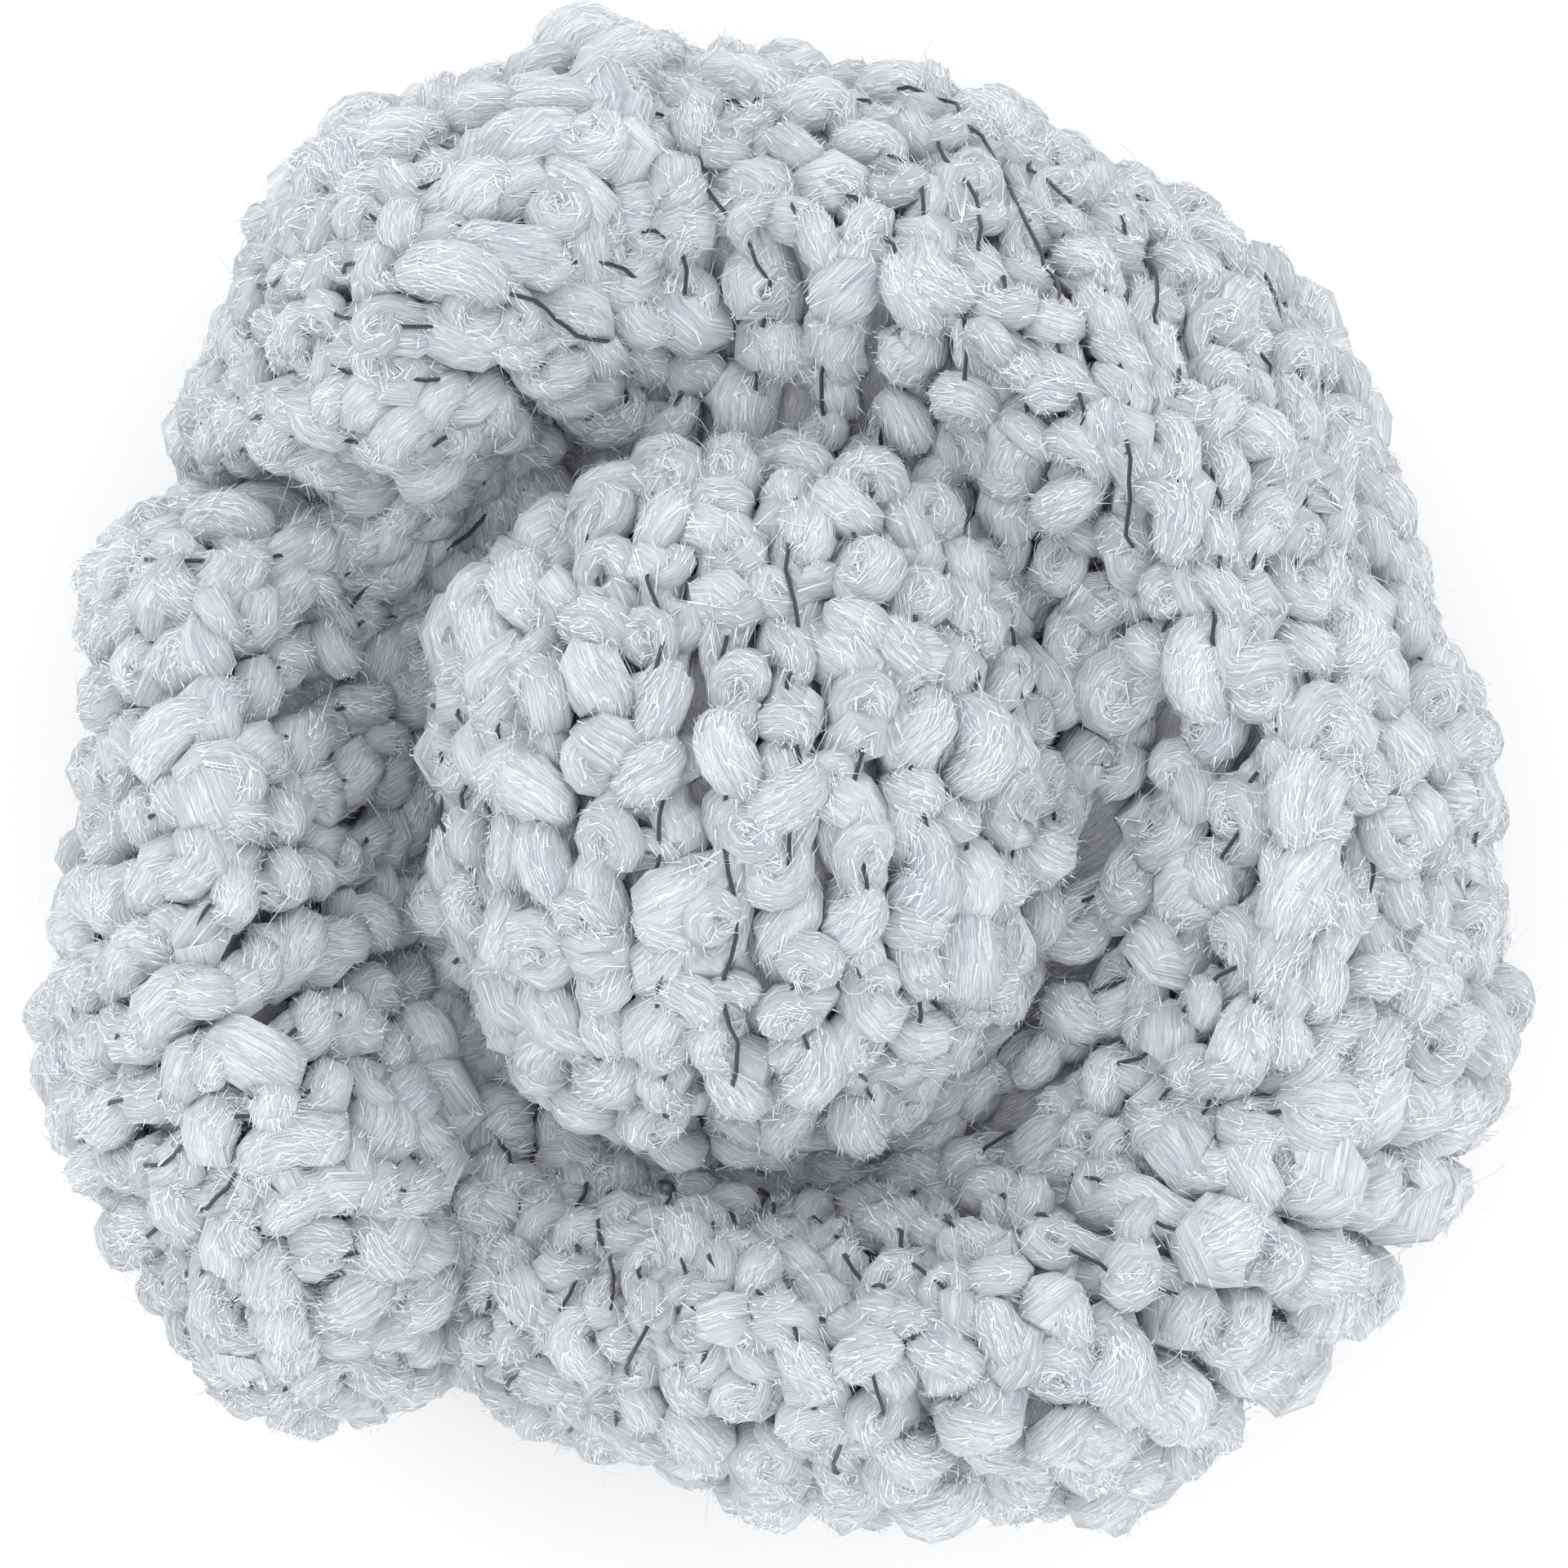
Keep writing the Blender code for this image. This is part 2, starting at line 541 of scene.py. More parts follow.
class StrandPath:
    """The middle line of one roll's yarn: a spiral just under the roll's surface."""

    def __init__(self, roll: Roll, form: BallForm, solid: Solid, layer: "YarnLayer") -> None:
        """Lays the path out.

        Args:
            roll: the roll that the yarn is wound on.
            form: the ball that the roll is part of.
            solid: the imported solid.
            layer: the layer of turns that the path belongs to.
        """
        turns = roll.strand_turns
        turn = np.linspace(layer.pole_margin, turns - layer.pole_margin, turns * layer.samples) + layer.offset
        places, out = roll.surface(form, (0.5 - turn / turns) * math.pi, 2 * math.pi * turn)
        ahead = roll.points(form, (0.5 - np.minimum(turn + 1, turns) / turns) * math.pi, 2 * math.pi * turn)
        self.gap = np.linalg.norm(places - ahead, axis=1)
        places = places - out * layer.inset
        places[:, 2] = np.maximum(places[:, 2], layer.lowest)
        self.roll = roll
        self.places = places
        self.along = np.concatenate([[0.0], np.cumsum(np.linalg.norm(np.diff(places, axis=0), axis=1))])
        self.run = unit(np.gradient(places, axis=0))
        self.out = unit(out - (out * self.run).sum(1, keepdims=True) * self.run)
        self.depth = solid.depths(places)

    @property
    def length(self) -> float:
        """Length of the whole path in millimetres."""
        return float(self.along[-1])

    def at(self, where: Array) -> tuple[Array, Array, Array, Array]:
        """The path's place and frame.

        Args:
            where: lengths along the path.

        Returns:
            The place, the running direction, the outward direction and the sideways direction at each length.
        """
        place, run, out = (
            np.stack([np.interp(where, self.along, values[:, k]) for k in range(3)], 1)
            for values in (self.places, self.run, self.out)
        )
        run = unit(run)
        out = unit(out - (out * run).sum(1, keepdims=True) * run)
        return place, run, out, np.cross(out, run)

    def depth_at(self, where: Array) -> Array:
        """Depth in the ball at these lengths along the path."""
        return np.interp(where, self.along, self.depth)

    def gap_at(self, where: Array) -> Array:
        """How far off the next turn is at these lengths along the path."""
        return np.interp(where, self.along, self.gap)


@dataclass
class Tube:
    """A run of roving or thread.

    Attributes:
        middle: the middle line, one ring a row.
        radius: its thickness at each ring.
        first: the direction that angles are counted from.
        second: the direction a quarter turn on.
        outward: the direction out of the ball.
        spin: how far each ring is turned.
        hairy: how many hairs a ring has, next to one in full view.
    """

    ROUGHNESS: ClassVar[float] = 0.03
    CM: ClassVar[float] = 0.1

    middle: Array
    radius: Array
    first: Array
    second: Array
    outward: Array
    spin: Array
    hairy: Array | None = None

    @staticmethod
    def along(middle: Array, radius: Array, outward: Array, spin: Array) -> "Tube":
        """Carries a frame along the middle line without twisting it.

        Args:
            middle: the middle line, one ring a row.
            radius: thickness at each ring.
            outward: direction out of the ball at each ring.
            spin: how far each ring is turned.

        Returns:
            The tube.
        """
        run = unit(np.gradient(middle, axis=0))
        first = np.empty_like(middle)
        side = unit(np.cross(run[0], (0.3, 0.5, 0.8)))
        for i, direction in enumerate(run):
            side = side - direction * float(side @ direction)
            side = side / max(float(np.linalg.norm(side)), 1e-9)
            first[i] = side
        return Tube(middle, radius, first, np.cross(run, first), outward, spin)

    def skin(self, ring: Array, angle: Array, lift: Array) -> tuple[Array, Array]:
        """Places on the tube's skin, or off it by a lift.

        Args:
            ring: numbers of the rings.
            angle: angles round them.
            lift: distances off the skin.

        Returns:
            The places, and the directions away from the middle line there.
        """
        turned = (angle + self.spin[ring])[..., None]
        away = np.cos(turned) * self.first[ring] + np.sin(turned) * self.second[ring]
        return self.middle[ring] + away * (self.radius[ring] + lift)[..., None], away

    def mesh(self, sides: int, rough: np.random.Generator | None = None) -> MeshData:
        """The tube's skin.

        Args:
            sides: points on each ring.
            rough: draws the skin's unevenness; without it the skin is smooth.

        Returns:
            Four-cornered faces with UVs in centimetres along and once round.
        """
        count = len(self.middle)
        angle = np.broadcast_to(np.arange(sides) * 2 * math.pi / sides, (count, sides))
        ring = np.broadcast_to(np.arange(count)[:, None], (count, sides))
        lift = np.zeros(angle.shape)
        if rough is not None:
            lift = rough.normal(0, self.ROUGHNESS, angle.shape) * self.radius[:, None]
        points = self.skin(ring, angle, lift)[0].reshape(-1, 3)
        length = np.concatenate([[0.0], np.cumsum(np.linalg.norm(np.diff(self.middle, axis=0), axis=1))]) * self.CM
        u, u_next, v = np.broadcast_arrays(length[:-1, None], length[1:, None], np.arange(sides) / sides)
        v_next = v + 1 / sides
        uvs = np.stack([u, v, u, v_next, u_next, v_next, u_next, v], 2)
        return MeshData(points, ring_faces(count - 1, sides), uvs.reshape(-1, 8))


@dataclass(frozen=True)
class CurlShape:
    """One kind of curl, with its ranges in millimetres and degrees.

    Attributes:
        share: how many of the curls are of this kind.
        lean: how far the curl lies over to its side, from straight out.
        turn: how far the curl's own swing is turned from along the strand to across it.
        height: how far it stands off the strand's path.
        swing: how far it swings back and forth; below 0 it crosses itself and closes to a loop.
        thickness: radius of the roving at its fullest.
    """

    share: float
    lean: tuple[float, float]
    turn: tuple[float, float]
    height: tuple[float, float]
    swing: tuple[float, float]
    thickness: tuple[float, float]


class CurlKind(Enum):
    """The curls that the roving makes."""

    OPEN_LOOP = CurlShape(0.16, (55, 88), (0, 20), (3.8, 4.6), (-3.1, -2.6), (1.15, 1.45))
    LOOP = CurlShape(0.42, (45, 88), (0, 30), (3.1, 4.0), (-2.8, -2.2), (1.45, 1.95))
    WRAP = CurlShape(0.17, (0, 55), (95, 145), (1.5, 2.5), (1.1, 1.7), (1.85, 2.4))
    COMMA = CurlShape(0.13, (20, 75), (0, 60), (1.8, 2.8), (0.6, 1.5), (1.8, 2.4))
    GRAIN = CurlShape(0.12, (0, 45), (85, 105), (1.2, 2.1), (0.6, 1.0), (1.7, 2.2))


@dataclass(frozen=True)
class YarnLayer:
    """One layer of turns, in millimetres.

    Attributes:
        inset: how far below the solid's surface its strands run.
        offset: how far its turns are shifted along the roll, in turns.
        deepest: strands that lie deeper than this in the ball are left out.
        underside: whether it goes round the side that faces down.
        spacing: least and greatest length of strand from knot to knot.
        pinch: radius of the roving at a knot.
        fullness: how large its curls are, next to the kinds' own sizes.
        usual_gap: distance from turn to turn at which curls have their own size.
        most_growth: how much they grow at most where the turns lie farther apart.
        rings: rings of a curl; rings_below and sides_below hold on the side that faces down.
        bare_below: roving deeper than this has few hairs.
        nap_each: hairs of a curl.
        loops: how often the roving closes to loops, next to the other layer.
        samples: points of the path a turn.
        pole_margin: what is left open at each end of a roll, in turns.
        lowest: least height of the path over the floor.
        faces_down: where the outward direction's vertical share is below this, the ball faces down.
        same_side: share of curls that lie to the same side as the one before.
        turned_back: share of curls that turn the other way.
        least_growth: how much curls shrink at most where the turns lie closer.
        own_size: range of each curl's own size.
        longer_grows: power by which a curl grows with its own length of strand.
        set_back: how far a curl that lies over is moved back, next to its height.
        taper: rings over which a stretch runs out to its tip.
        tip: size of that tip.
        spin: mean and spread of the turn from ring to ring, in radians.
        few_hairs: hairs on roving that hardly shows, next to one in full view.
        waves: reach and length of two slow waves to the sides and two up and down.
    """

    inset: float = 3.6
    offset: float = 0.0
    deepest: float = 5.2
    underside: bool = True
    spacing: tuple[float, float] = (4.5, 6.3)
    pinch: float = 1.0
    fullness: float = 1.0
    usual_gap: float = 5.5
    most_growth: float = 1.2
    rings: int = 14
    sides: int = 7
    rings_below: int = 9
    sides_below: int = 5
    bare_below: float = 4.3
    nap_each: float = 117.0
    loops: float = 1.0
    samples: int = 360
    pole_margin: float = 0.3
    lowest: float = 2.1
    faces_down: float = -0.35
    same_side: float = 0.15
    turned_back: float = 0.3
    least_growth: float = 0.85
    own_size: tuple[float, float] = (0.86, 1.12)
    longer_grows: float = 0.6
    set_back: float = 0.35
    smoothings: int = 2
    taper: int = 3
    tip: float = 0.03
    spin: tuple[float, float] = (0.09, 0.05)
    few_hairs: float = 0.3
    waves: tuple[tuple[float, float], ...] = ((0.45, 7.3), (0.3, 3.9), (0.3, 9.1), (0.2, 4.7))


class Layer(Enum):
    """The layers of turns that show."""

    OUTER = YarnLayer()
    INNER = YarnLayer(
        inset=4.7, offset=0.5, deepest=8.2, underside=False, pinch=1.5, fullness=1.2, rings=7, sides=5,
        most_growth=1.35, bare_below=9.0, nap_each=42.0, loops=0.5,
    )


class CurledRoving:
    """The pale roving of one roll, thrown into curls to either side of its path."""

    def __init__(self, path: StrandPath, sizes: YarnLayer, seed: int) -> None:
        """Lays the roving along its path.

        Args:
            path: the middle line of the yarn.
            sizes: the layer that it belongs to.
            seed: number that its random draws start from.
        """
        self.path = path
        self.sizes = sizes
        self.draw = np.random.default_rng(seed)
        self.knots = self._knots()
        self.runs = self._runs()
        self.tubes = [self._tube(*run) for run in self.runs]

    def _knots(self) -> Array:
        """Draws where the binder ties the roving down.

        Returns:
            Lengths along the path.
        """
        low, high = self.sizes.spacing
        steps = self.draw.uniform(low, high, int(self.path.length / low) + 2)
        knots = np.cumsum(steps)
        return knots[knots < self.path.length - high]

    def _runs(self) -> list[tuple[int, int, bool]]:
        """Finds the stretches that show.

        Returns:
            First and last curl of each stretch, and whether it lies on the ball's underside.
        """
        middle = (self.knots[:-1] + self.knots[1:]) / 2
        facing_up = self.path.at(middle)[2][:, 2]
        shows = self.path.depth_at(middle) < self.sizes.deepest
        shows = shows & (self.sizes.underside | (facing_up > self.sizes.faces_down))
        shows = shows | np.roll(shows, 1) | np.roll(shows, -1)
        below = facing_up < self.sizes.faces_down
        kind = np.where(shows, 1 + below, 0)
        edges = np.flatnonzero(np.diff(np.concatenate([[0], kind, [0]])))
        return [(a, b, kind[a] == 2) for a, b in zip(edges[:-1], edges[1:]) if kind[a] and b - a > 1]

    def _shapes(self, count: int) -> dict[str, Array]:
        """Draws the shape of each curl in a stretch.

        Args:
            count: how many curls it has.

        Returns:
            One value a curl under the name of each range of CurlShape, with angles in radians.
        """
        kinds = list(CurlKind)
        loops = self.path.roll.loops * self.sizes.loops
        shares = np.array([kind.value.share * (loops if kind.value.swing[0] < 0 else 1) for kind in kinds])
        pick = self.draw.choice(len(kinds), count, p=shares / shares.sum())
        out = {}
        for name in ("lean", "turn", "height", "swing", "thickness"):
            ranges = np.array([getattr(kind.value, name) for kind in kinds])[pick]
            out[name] = self.draw.uniform(ranges[:, 0], ranges[:, 1])
        side = np.where((np.arange(count) + self.draw.integers(2)) % 2, 1.0, -1.0)
        out["lean"] = np.radians(out["lean"]) * np.where(self.draw.random(count) < self.sizes.same_side, -side, side)
        out["turn"] = np.radians(out["turn"]) * np.where(self.draw.random(count) < self.sizes.turned_back, -1, 1)
        return out

    def _tube(self, first: int, last: int, below: bool) -> Tube:
        """The roving of one stretch, with fewer rings where it lies below.

        Args:
            first: its first knot.
            last: its last knot.
            below: whether it lies on the ball's underside.

        Returns:
            The roving's tube.
        """
        size, count = self.sizes, last - first
        shape = self._shapes(count)
        rings = size.rings_below if below else size.rings
        share = np.arange(rings) / rings
        start = self.knots[first:last]
        gap = self.knots[first + 1 : last + 1] - start
        grid = np.broadcast_to(share[None, :], (count, rings))
        along = (start[:, None] + gap[:, None] * grid).ravel()
        growth = np.clip(self.path.gap_at(along) / size.usual_gap, size.least_growth, size.most_growth)
        scale = growth[:, None] * size.fullness
        own = self.draw.uniform(*size.own_size, count) * (gap / np.mean(size.spacing)) ** size.longer_grows
        scale = scale * np.repeat(own, rings)[:, None]
        each = {name: np.repeat(values, rings)[:, None] for name, values in shape.items()}
        place, run, out, across = self.path.at(along)
        phase = 2 * math.pi * grid.ravel()
        upright, over = np.cos(each["lean"]), np.sin(each["lean"])
        rise = (1 - np.cos(phase))[:, None] / 2 * each["height"] * scale
        place = place - size.set_back * (each["height"] * scale * over) * across
        swing = np.sin(phase)[:, None] * each["swing"] * scale
        bulge = upright * out + over * across
        beside = upright * across - over * out
        middle = place + rise * bulge - swing * (np.cos(each["turn"]) * run + np.sin(each["turn"]) * beside)
        middle += self._wander(along, across, out)
        for _ in range(size.smoothings):
            middle[1:-1] = middle[1:-1] / 2 + (middle[:-2] + middle[2:]) / 4
        full = np.sin(math.pi * grid.ravel())
        radius = (size.pinch + (each["thickness"].ravel() - size.pinch) * full) * scale.ravel()
        ends = np.minimum(np.arange(len(radius)), np.arange(len(radius))[::-1])
        radius *= np.clip(ends / size.taper, size.tip, 1)
        spin = np.cumsum(self.draw.normal(*size.spin, len(radius)))
        tube = Tube.along(middle, radius, out, spin)
        hidden = (out[:, 2] < size.faces_down) | (self.path.depth_at(along) > size.bare_below)
        tube.hairy = np.where(hidden, size.few_hairs, 1.0)
        return tube

    def _wander(self, along: Array, across: Array, out: Array) -> Array:
        """A slow drift of the whole strand to each side and up and down.

        Args:
            along: lengths along the path.
            across: sideways directions there.
            out: outward directions there.

        Returns:
            How far each place moves.
        """
        phase = self.draw.uniform(0, CIRCLE, 4)
        waves = [reach * np.sin(along / length + start) for (reach, length), start in zip(self.sizes.waves, phase)]
        return (waves[0] + waves[1])[:, None] * across + (waves[2] + waves[3])[:, None] * out

    def mesh(self) -> MeshData:
        """The skin of all its stretches, with fewer sides where the ball faces down."""
        sides = [self.sizes.sides_below if below else self.sizes.sides for _, _, below in self.runs]
        return MeshData.joined([tube.mesh(count, self.draw) for tube, count in zip(self.tubes, sides)])


@dataclass(frozen=True)
class BinderThread:
    """The dark thread: it crosses over the roving at each knot and dips into the curls between, in millimetres.

    Attributes:
        over: height over the roving's path at a knot.
        under: height in the curls between.
        points: rings from knot to knot.
    """

    roving: CurledRoving
    radius: float = 0.2
    over: tuple[float, float] = (0.9, 2.5)
    under: tuple[float, float] = (0.3, 2.1)
    points: int = 4
    sides: int = 3
    stray: float = 0.5
    tremor: float = 0.12

    def mesh(self) -> MeshData:
        """The thread's skin along every stretch that shows.

        Returns:
            The joined arrays.
        """
        path, knots, draw = self.roving.path, self.roving.knots, self.roving.draw
        parts = []
        for first, last, _ in self.roving.runs:
            share = np.arange((last - first) * self.points) / self.points
            whole = np.floor(share).astype(int)
            step = np.clip(first + whole, 0, len(knots) - 2)
            place, _, out, across = path.at(knots[step] + (share - whole) * (knots[step + 1] - knots[step]))
            near = np.cos(2 * math.pi * share) * 0.5 + 0.5
            over = draw.uniform(*self.over, last - first + 1)[np.round(share).astype(int)]
            under = draw.uniform(*self.under, last - first)[whole]
            level = under + (over - under) * near
            sideways = self.stray * np.sin(math.pi * share + draw.uniform(0, CIRCLE))
            sideways += draw.normal(0, self.tremor, len(share))
            middle = place + level[:, None] * out + sideways[:, None] * across
            tube = Tube.along(middle, np.full(len(middle), self.radius), out, np.zeros(len(middle)))
            parts.append(tube.mesh(self.sides))
        return MeshData.joined(parts)


@dataclass(frozen=True)
class FibreKind:
    """One kind of loose fibre, in millimetres.

    Attributes:
        each: how many of them a curl has.
        points: points of the line that it follows.
        width: its width where it leaves the roving.
        step: length of each straight step of the fibre.
        rise: how steeply it leaves the roving.
        bend: how strongly it curls back.
    """

    each: float
    points: int
    width: float
    step: tuple[float, float]
    rise: tuple[float, float]
    bend: tuple[float, float]


class Fibre(Enum):
    """The loose fibres."""

    SHORT = FibreKind(2.5, 4, 0.07, (0.4, 0.9), (0.05, 0.7), (0.45, 0.35))
    LONG = FibreKind(1.2, 7, 0.06, (0.5, 0.9), (0.2, 1.0), (0.6, 0.5))


@dataclass(frozen=True)
class FibreSizes:
    """Sizes that the fibres of every roll share, in millimetres.

    Attributes:
        least_radius: roving thinner than this grows few fibres.
        least_chance: how many it grows, next to roving that is 1 mm thicker than that.
        spare: how many more places are drawn than fibres, since some face inwards.
        facing: range of how far outwards a place has to face.
        uv_step: UV length from point to point.
        tones: range of UVs that the fibres are spread over, so that their tones differ.
        free_lift: where free fibres start, off the skin.
        sway: how much their directions differ.
        tremor: how much a fibre wavers at each step.
        twist: how much the ribbons' faces are turned.
        nap_lift: where the nap starts, off the skin.
        nap_ahead: how many rings ahead its hairs end at most.
        nap_turn: how far round the roving they drift, in radians.
        tip_lift: how far off the skin they end.
        strays: share of hairs that end in the air.
    """

    least_radius: float = 0.5
    least_chance: float = 0.05
    spare: int = 3
    facing: tuple[float, float] = (-0.4, 0.6)
    uv_step: float = 0.08
    tones: float = 30
    free_lift: float = -0.05
    sway: float = 0.5
    tremor: float = 0.09
    twist: float = 0.2
    nap_lift: float = -0.06
    nap_lean: float = 0.4
    nap_rise: tuple[float, float] = (0.1, 0.9)
    nap_reach: tuple[float, float] = (0.6, 1.7)
    nap_droop: float = 0.1
    nap_ahead: int = 3
    nap_turn: float = 0.3
    tip_lift: tuple[float, float] = (0.05, 0.45)
    strays: float = 0.35
    nap_half_width: tuple[float, float] = (0.04, 0.07)
    nap_uvs: tuple[tuple[float, float], ...] = ((0.0, 0.0), (0.0, 0.02), (0.15, 0.01))


class LooseFibres:
    """Fine fibres of the roving: the nap lies along it, and the others stand off and curl."""

    def __init__(self, roving: CurledRoving, seed: int) -> None:
        """Gathers the roving that the fibres grow from.

        Args:
            roving: the roving of one layer.
            seed: number that the fibres' random draws start from.
        """
        self.sizes = FibreSizes()
        self.draw = np.random.default_rng(seed)
        self.nap_each = roving.sizes.nap_each
        tubes = roving.tubes
        self.yarn = Tube(*(np.concatenate([getattr(tube, field.name) for tube in tubes]) for field in fields(Tube)))
        lengths = [len(tube.middle) for tube in tubes]
        self.last_ring = np.repeat(np.cumsum(lengths) - 1, lengths)
        self.curls = sum(last - first for first, last, _ in roving.runs)

    def _roots(self, count: int, reach: int, lift: float) -> tuple[Array, ...]:
        """Draws where fibres start: more on full curls, and few on what faces inwards or down.

        Args:
            count: the most fibres wanted.
            reach: how many rings ahead they need.
            lift: how far off the skin they start.

        Returns:
            The ring of each fibre, its angle on it, its place, the direction away from the roving, and the direction
            along it in which the fibre runs.
        """
        yarn, draw = self.yarn, self.draw
        chance = np.maximum(yarn.radius - self.sizes.least_radius, self.sizes.least_chance) * yarn.hairy
        chance[np.arange(len(chance)) + reach > self.last_ring] = 0
        ring = draw.choice(len(chance), count * self.sizes.spare, p=chance / chance.sum())
        angle = draw.uniform(0, 2 * math.pi, len(ring))
        away = yarn.skin(ring, angle, np.zeros(len(ring)))[1]
        facing = (away * yarn.outward[ring]).sum(1)
        keep = np.flatnonzero(facing > draw.uniform(*self.sizes.facing, len(ring)))[:count]
        ring, angle = ring[keep], angle[keep]
        place, away = yarn.skin(ring, angle, np.full(len(ring), lift))
        run = unit(np.cross(yarn.first[ring], yarn.second[ring]))
        return ring, angle, place, away, run * np.where(draw.random(len(ring)) < 0.5, 1, -1)[:, None]

    def _ribbons(self, line: Array, away: Array, width: float) -> MeshData:
        """Thin flat ribbons, half as wide at the tip.

        Args:
            line: the points of each ribbon's line.
            away: the direction that its face turns to.
            width: its width at the root.

        Returns:
            Four-cornered faces with UVs.
        """
        count, points, _ = line.shape
        across = unit(np.cross(unit(np.gradient(line, axis=1)), away))
        half = across * np.linspace(0.5, 0.25, points)[None, :, None] * width
        corners = np.stack([line - half, line + half], 2).reshape(-1, 3)
        base = (np.arange(count)[:, None] * points + np.arange(points - 1)[None, :]) * 2
        faces = np.stack([base, base + 1, base + 3, base + 2], 2).reshape(-1, 4)
        steps = np.repeat(np.arange(points) * self.sizes.uv_step, 2)
        run_on = steps[None, :] + self.draw.uniform(0, self.sizes.tones, (count, 1))
        uv = np.stack([run_on, np.broadcast_to(self.draw.random((count, 1)), run_on.shape)], 2).reshape(-1, 2)
        return MeshData(corners, faces, uv[faces].reshape(-1, 8))

    def _free(self, kind: FibreKind) -> MeshData:
        """Fibres that leave the curls and end in the air.

        Args:
            kind: the kind of fibre.

        Returns:
            Their ribbons.
        """
        draw = self.draw
        _, _, place, away, run = self._roots(int(self.curls * kind.each), 1, self.sizes.free_lift)
        count = len(place)
        sideways = np.cross(away, run)
        rise = away * draw.uniform(*kind.rise, count)[:, None]
        heading = unit(run + rise + sideways * draw.normal(0, self.sizes.sway, count)[:, None])
        axis = unit(sideways + draw.normal(0, self.sizes.sway, (count, 3)))
        turn = draw.normal(*kind.bend, count)[:, None]
        step = draw.uniform(*kind.step, count)[:, None]
        line = [place]
        for _ in range(kind.points - 1):
            line.append(line[-1] + heading * step)
            curl = np.cross(axis, heading) * turn * step
            heading = unit(heading + curl + draw.normal(0, self.sizes.tremor, (count, 3)))
        facing = away[:, None, :] + draw.normal(0, self.sizes.twist, (count, 1, 3))
        return self._ribbons(np.stack(line, 1), facing, kind.width)

    def nap(self) -> MeshData:
        """The nap: short single hairs that lie nearly along the roving, each a thin triangle.

        Returns:
            Their triangles with UVs.
        """
        draw = self.draw
        wanted = int(self.curls * self.nap_each)
        ring, angle, place, away, run = self._roots(wanted, self.sizes.nap_ahead, self.sizes.nap_lift)
        count = len(ring)
        lean = draw.normal(0, self.sizes.nap_lean, count)[:, None] * np.cross(away, run)
        heading = unit(run + lean + away * draw.uniform(*self.sizes.nap_rise, count)[:, None])
        reach = draw.uniform(*self.sizes.nap_reach, count)[:, None]
        stray = place + heading * reach - away * self.sizes.nap_droop * reach**2
        ahead = ring + draw.integers(1, self.sizes.nap_ahead + 1, count)
        turned = angle + draw.normal(0, self.sizes.nap_turn, count)
        close = self.yarn.skin(ahead, turned, draw.uniform(*self.sizes.tip_lift, count))[0]
        tip = np.where((draw.random(count) < self.sizes.strays)[:, None], stray, close)
        half = unit(np.cross(tip - place, away)) * draw.uniform(*self.sizes.nap_half_width, count)[:, None]
        points = np.stack([place - half, place + half, tip], 1).reshape(-1, 3)
        uvs = np.array(self.sizes.nap_uvs)[None] + draw.uniform(0, self.sizes.tones, (count, 1, 2))
        return MeshData(points, np.arange(count * 3).reshape(-1, 3), uvs.reshape(-1, 6))

    def mesh(self) -> MeshData:
        """All fibres that stand off the roving, as one set of arrays."""
        return MeshData.joined([self._free(kind.value) for kind in Fibre])


@dataclass(frozen=True)
class TurnsBelow:
    """The next layer of turns, which shows as a shaded ground in the gaps, in millimetres.

    Attributes:
        inset: how far below the rolls' surfaces it lies.
        ridge: how far its ridges stand over that.
        deepest: what lies deeper than this in the ball is left out.
        pole_margin: what is left open at each end of a roll, in turns.
    """

    rolls: tuple[Roll, ...]
    form: BallForm
    solid: Solid
    inset: float = 5.6
    ridge: float = 0.9
    deepest: float = 10.0
    rows_a_turn: int = 2
    columns: int = 48
    pole_margin: float = 0.02
    uvs_round: int = 4

    def _roll(self, roll: Roll) -> MeshData:
        """One roll's inner surface with a low ridge a turn.

        Args:
            roll: the roll.

        Returns:
            Four-cornered faces where they may show, with UVs.
        """
        rows = roll.turns * self.rows_a_turn
        turn = np.linspace(self.pole_margin, roll.turns - self.pole_margin, rows + 1)
        lon = np.arange(self.columns) * 2 * math.pi / self.columns
        turns, lons = (grid.ravel() for grid in np.meshgrid(turn, lon, indexing="ij"))
        places, out = roll.surface(self.form, (0.5 - turns / roll.turns) * math.pi, lons)
        places = places - out * (self.inset + self.ridge * np.cos(2 * math.pi * turns))[:, None]
        faces = ring_faces(rows, self.columns)[:, [1, 0, 3, 2]]
        faces = faces[(self.solid.depths(places) < self.deepest)[faces].any(1)]
        uv = np.stack([lons * self.uvs_round, turns], 1)
        return MeshData(places, faces, uv[faces].reshape(-1, 8))

    def mesh(self) -> MeshData:
        """The ground below all rolls, as one set of arrays."""
        return MeshData.joined([self._roll(roll) for roll in self.rolls])


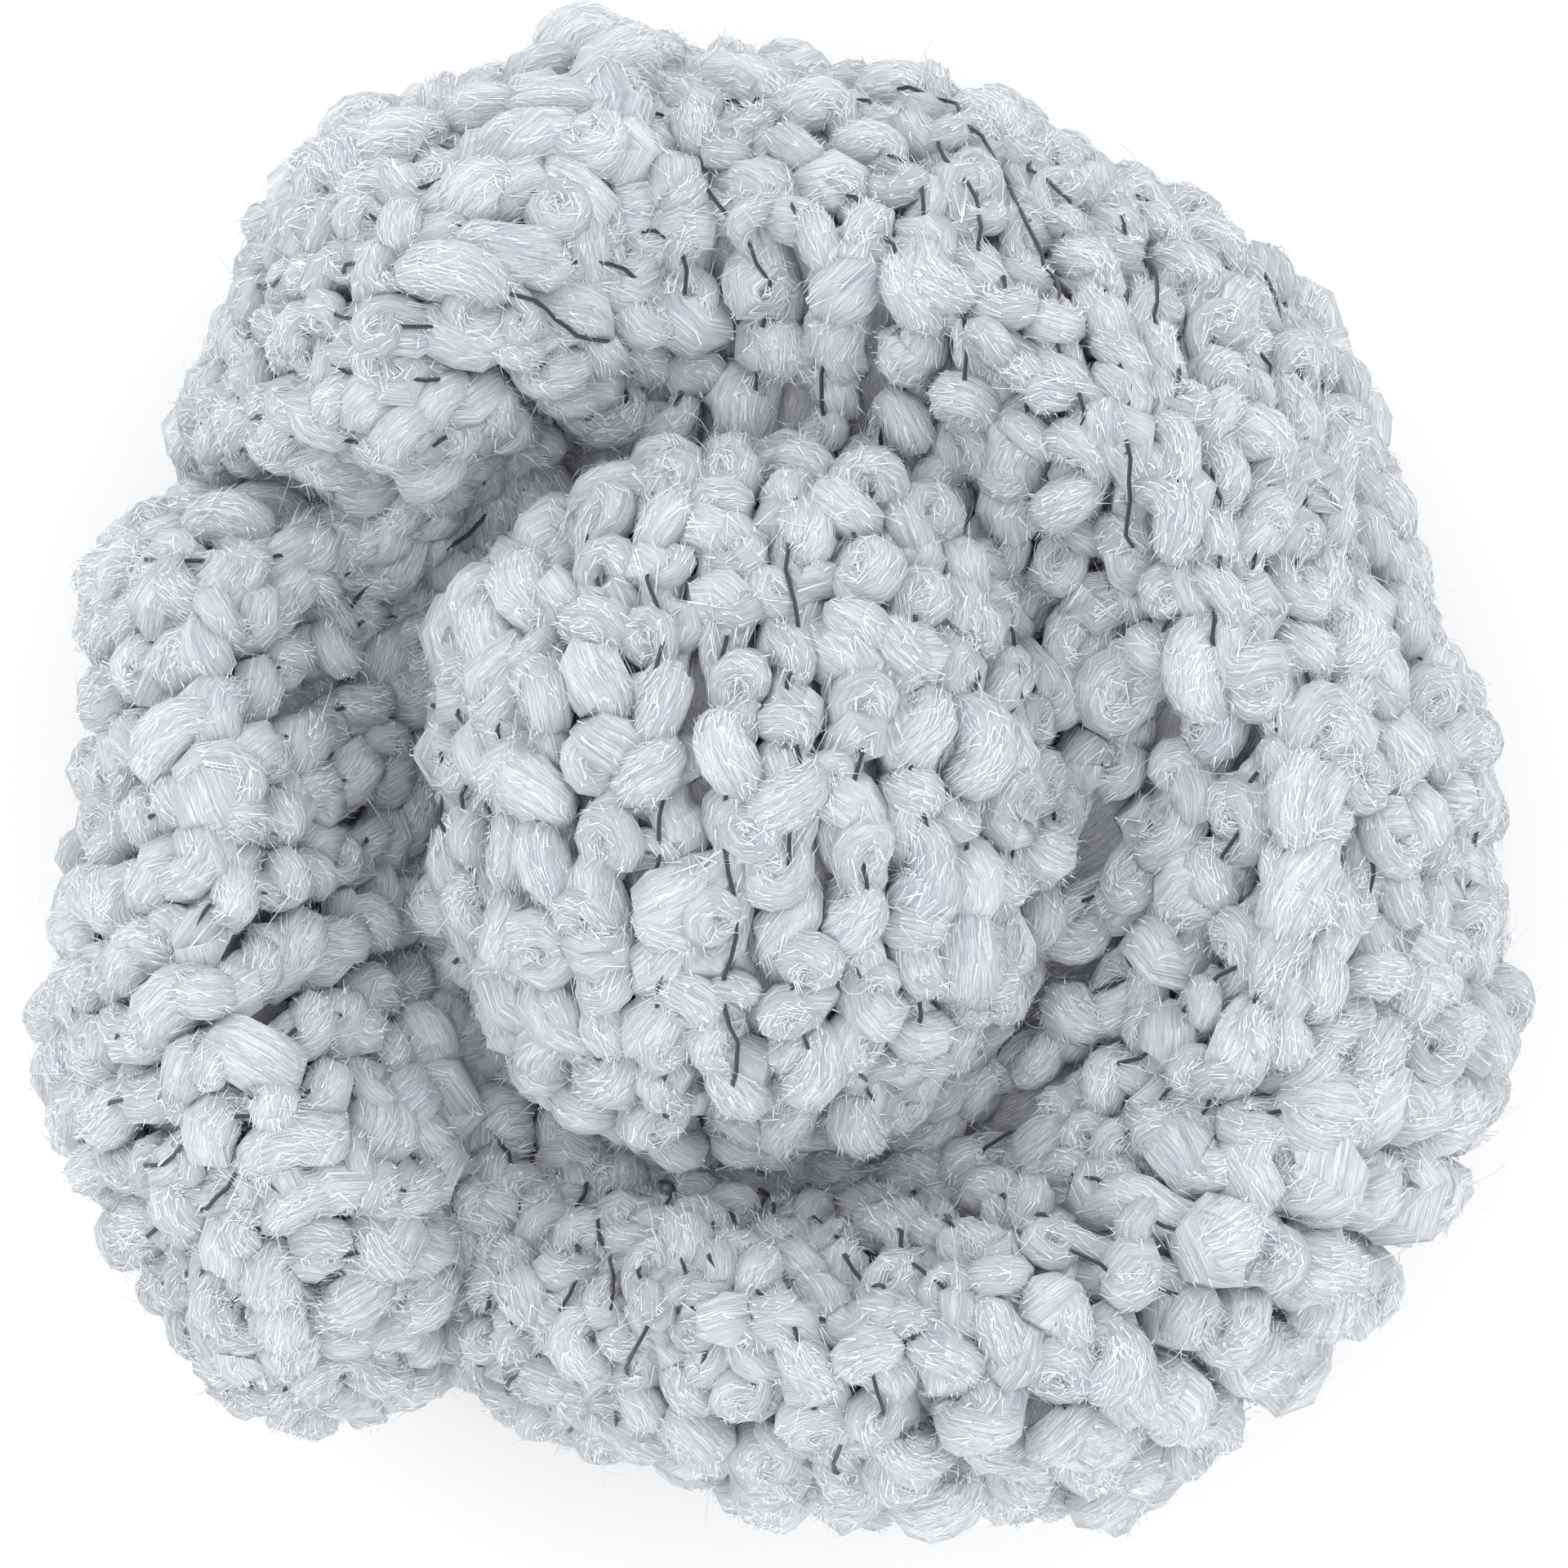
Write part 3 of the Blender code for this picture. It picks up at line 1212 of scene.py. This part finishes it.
class YarnRoll:
    """One roll dressed in its two layers of yarn, its binder thread and its loose fibres."""

    FIBRE_SEEDS = (50, 51)

    def __init__(self, roll: Roll, form: BallForm, solid: Solid, seed: int) -> None:
        """Winds both layers.

        Args:
            roll: the roll to dress.
            form: the ball that it is part of.
            solid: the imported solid.
            seed: number that its random draws start from.
        """
        self.name = roll.name
        self.seed = seed
        self.outer, self.inner = (
            CurledRoving(StrandPath(roll, form, solid, layer.value), layer.value, seed + number)
            for number, layer in enumerate((Layer.OUTER, Layer.INNER))
        )

    def dress(self, finishes: dict[str, bpy.types.Material]) -> None:
        """Makes the roll's pieces.

        Args:
            finishes: materials by piece kind.
        """
        self.outer.mesh().piece(self.name + "_curls", finishes["curls"])
        self.inner.mesh().piece(self.name + "_inner_curls", finishes["curls"])
        BinderThread(self.outer).mesh().piece(self.name + "_binder", finishes["binder"])
        outer, inner = (
            LooseFibres(roving, self.seed + number)
            for roving, number in zip((self.outer, self.inner), self.FIBRE_SEEDS)
        )
        outer.mesh().piece(self.name + "_fibres", finishes["fibres"])
        MeshData.joined([outer.nap(), inner.nap()]).piece(self.name + "_nap", finishes["fibres"])
        LOG.info("%s: %d curls", self.name, outer.curls)


@dataclass(frozen=True)
class Studio:
    """Floor, soft lights and the camera straight above the ball, as in the photograph, in metres.

    Attributes:
        view_width: width of the picture at the ball's middle.
        distance: from the ball's middle to the camera.
        gamma: lifts the dark tones, as in the photograph.
    """

    view_width: float = 0.12715
    middle_height: float = 0.046
    distance: float = 0.70
    floor_size: float = 6.0
    floor_tone: float = 0.93
    surround: float = 1.28
    gamma: float = 1.1
    lit_point: tuple[float, float, float] = (0.0, 0.0, 0.04)
    sensor: float = 36.0

    def build(self) -> None:
        """Adds the floor, the world, the lights and the camera."""
        bpy.context.scene.view_settings.view_transform = "Standard"
        bpy.context.scene.view_settings.gamma = self.gamma
        self._floor()
        self._world()
        self._light("key_light", place=(-0.45, 0.5, 0.95), size=0.7, power=1.4)
        self._light("fill_light", place=(0.5, -0.4, 0.9), size=0.9, power=0.7)
        self._camera()

    def _floor(self) -> None:
        """A pale plain floor."""
        bpy.ops.mesh.primitive_plane_add(size=self.floor_size, location=(0, 0, 0))
        floor = bpy.context.active_object
        floor.name = "studio_floor"
        shading = Shading("studio_floor", {"Base Color": (self.floor_tone,) * 3 + (1,), "Roughness": 0.9})
        floor.data.materials.append(shading.material)

    def _world(self) -> None:
        """A plain pale surround."""
        world = bpy.data.worlds.new("studio")
        bpy.context.scene.world = world
        world.use_nodes = True
        background = world.node_tree.nodes["Background"]
        background.inputs["Color"].default_value = (1.0, 1.0, 1.0, 1)
        background.inputs["Strength"].default_value = self.surround

    def _light(self, name: str, place: tuple[float, float, float], size: float, power: float) -> None:
        """A square soft light that faces the ball.

        Args:
            name: name of the light.
            place: where it stands.
            size: length of its side.
            power: its power in watts.
        """
        light = bpy.data.lights.new(name, "AREA")
        light.size = size
        light.energy = power
        obj = bpy.data.objects.new(name, light)
        obj.location = place
        obj.rotation_euler = (Vector(self.lit_point) - Vector(place)).to_track_quat("-Z", "Y").to_euler()
        bpy.context.scene.collection.objects.link(obj)

    def _camera(self) -> None:
        """A long lens straight above."""
        data = bpy.data.cameras.new("camera")
        data.sensor_width = self.sensor
        data.lens = self.sensor * self.distance / self.view_width
        data.clip_start = 0.05
        data.clip_end = 10.0
        camera = bpy.data.objects.new("camera", data)
        camera.location = (0, 0, self.middle_height + self.distance)
        bpy.context.scene.collection.objects.link(camera)
        bpy.context.scene.camera = camera


def main() -> None:
    """Builds the dressed ball and its studio."""
    logging.basicConfig(level=logging.INFO, format="%(name)s: %(message)s")
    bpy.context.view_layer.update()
    solid = Solid(NODE)
    finishes = {
        # The curls' dark end is the deepest painted shade between fibres; the loose fibres are painted lighter, as
        # hairs catching the light over them.
        "curls": WoolFinish(Tone.CURLS, (0.51, 0.56, 0.65), (0.96, 0.98, 0.995)).material(),
        "fibres": WoolFinish(Tone.FIBRES, (0.62, 0.665, 0.74), (0.94, 0.965, 0.99), bump=0.0).material(),
        # The ground below is painted a little lighter than the curls, to lift the shade in the gaps.
        "below": WoolFinish(Tone.BELOW, (0.58, 0.62, 0.70), (0.98, 0.99, 1.0), streaks=22.0, along=6.0).material(),
        "binder": BinderFinish().material(),
    }
    TurnsBelow(ROLLS, FORM, solid).mesh().piece("turns_below", finishes["below"])
    for number, roll in enumerate(ROLLS):
        YarnRoll(roll, FORM, solid, FIRST_SEED + len(Layer) * number).dress(finishes)
    Studio().build()


if __name__ == "__main__":
    main()
